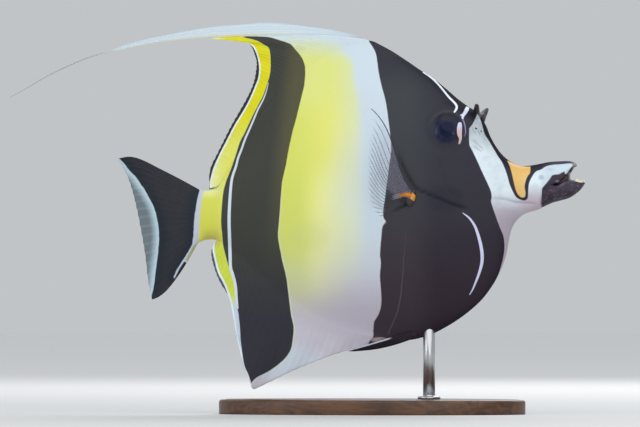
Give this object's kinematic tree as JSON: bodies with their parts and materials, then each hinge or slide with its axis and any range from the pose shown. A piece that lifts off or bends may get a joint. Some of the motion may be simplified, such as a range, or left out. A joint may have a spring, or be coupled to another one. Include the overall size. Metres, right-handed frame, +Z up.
{
  "type": "moorish idol fish model",
  "caption": "Life-size model of a moorish idol, a disc-shaped reef fish with a long snout and a trailing dorsal streamer, held swimming over a flat display base by a rod.",
  "frame": {"origin": "centre of the display base's underside, on the floor", "axes": "+X towards the fish's snout, +Y towards its left side, +Z up; the fish's mid-plane is XZ"},
  "size_m": [0.2351, 0.064, 0.1566],
  "materials": {
    "skin_black": "painted resin, satin black with a grey sheen of scales",
    "skin_white": "painted resin, satin bluish white",
    "skin_yellow": "painted resin, satin lemon yellow",
    "fin_clear": "thin cast fin, bluish grey and slightly see-through",
    "eye": "polished blue-black",
    "stand_wood": "dark oiled wood",
    "stand_steel": "satin"
  },
  "bodies": {
    "root": {"head": "skin_black", "snout": "skin_white", "lower_jaw": "skin_black", "trunk": "skin_yellow", "tail_stem": "skin_yellow", "dorsal_fin_front": "skin_white", "dorsal_fin_rear": "skin_yellow", "dorsal_streamer": "skin_white", "anal_fin": "skin_yellow", "tail_fin": "skin_black", "pectoral_fin_right": "fin_clear", "pectoral_fin_left": "fin_clear", "pelvic_fin_right": "skin_black", "pelvic_fin_left": "skin_black", "eye_right": "eye", "eye_left": "eye", "horn_right": "skin_black", "horn_left": "skin_black", "stand_base": "stand_wood", "stand_rod": "stand_steel"}
  },
  "joints": []
}
